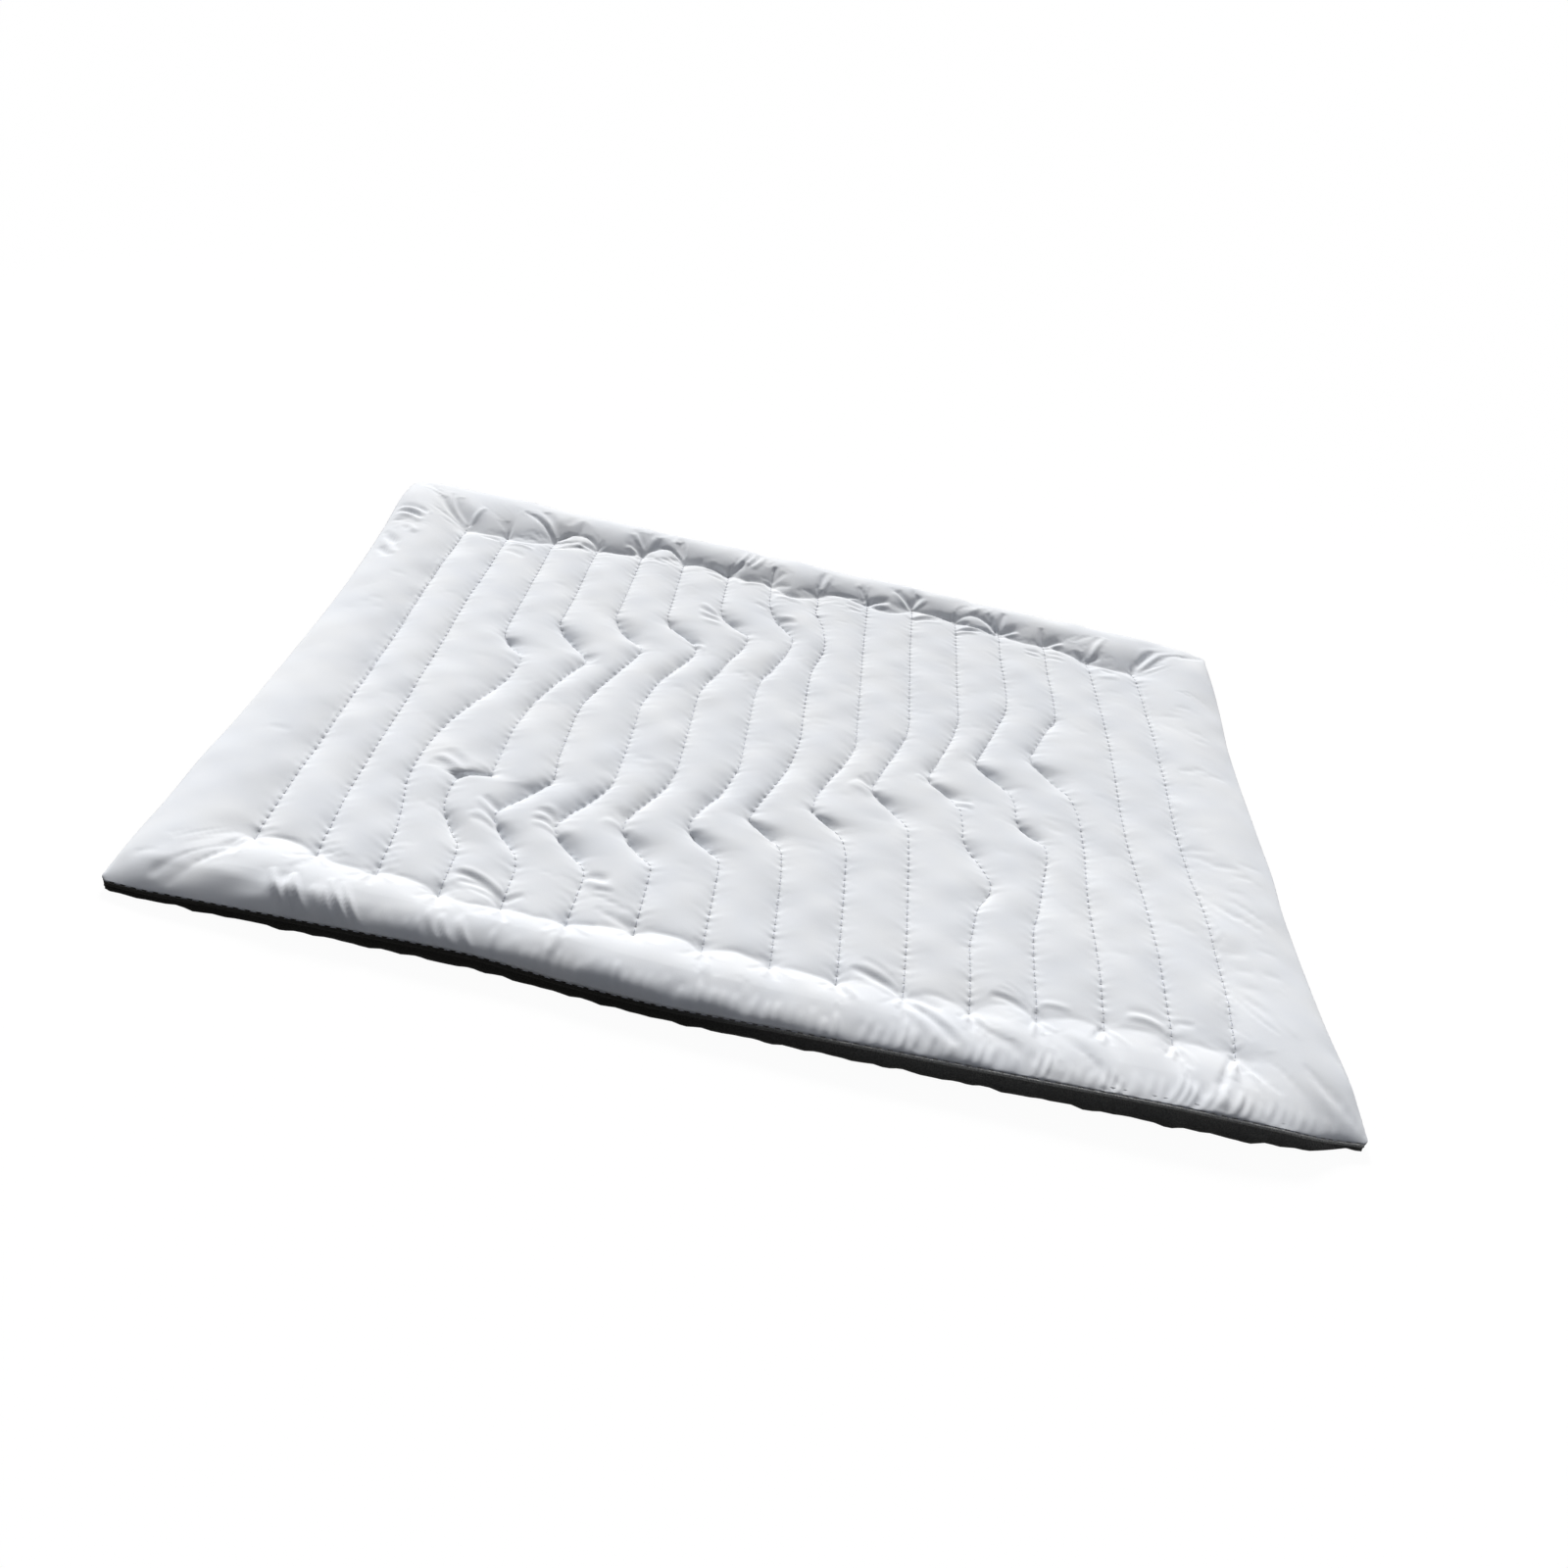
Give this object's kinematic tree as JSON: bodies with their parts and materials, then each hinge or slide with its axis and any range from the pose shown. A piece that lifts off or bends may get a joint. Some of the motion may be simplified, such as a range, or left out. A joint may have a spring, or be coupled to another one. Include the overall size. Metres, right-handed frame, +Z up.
{
  "type": "pet cooling mat",
  "caption": "Rectangular quilted cooling mat for a pet, with a smooth pale cover, jogged quilting lines, a puffed border and a dark soft underside.",
  "frame": {"origin": "middle of the edge seam's outline in plan, on the surface that the mat lies on", "axes": "+X along the mat's long side, +Y towards its back, +Z up from the floor"},
  "size_m": [0.7, 0.563, 0.022],
  "materials": {
    "cooling_cloth": "smooth, faintly silky knit",
    "wadding": "loose fibre",
    "underside_suede": "short napped suede",
    "thread": "twisted polyester sewing thread"
  },
  "bodies": {
    "root": {"cooling_cover": "cooling_cloth", "wadding": "wadding", "underside_cover": "underside_suede", "needle_thread_01": "thread", "needle_thread_02": "thread", "needle_thread_03": "thread", "needle_thread_04": "thread", "needle_thread_05": "thread", "needle_thread_06": "thread", "needle_thread_07": "thread", "needle_thread_08": "thread", "needle_thread_09": "thread", "needle_thread_10": "thread", "needle_thread_11": "thread", "needle_thread_12": "thread", "needle_thread_13": "thread", "needle_thread_14": "thread", "needle_thread_15": "thread", "needle_thread_16": "thread", "bobbin_thread_01": "thread", "bobbin_thread_02": "thread", "bobbin_thread_03": "thread", "bobbin_thread_04": "thread", "bobbin_thread_05": "thread", "bobbin_thread_06": "thread", "bobbin_thread_07": "thread", "bobbin_thread_08": "thread", "bobbin_thread_09": "thread", "bobbin_thread_10": "thread", "bobbin_thread_11": "thread", "bobbin_thread_12": "thread", "bobbin_thread_13": "thread", "bobbin_thread_14": "thread", "bobbin_thread_15": "thread", "bobbin_thread_16": "thread", "edge_seam_thread": "thread"}
  },
  "joints": []
}
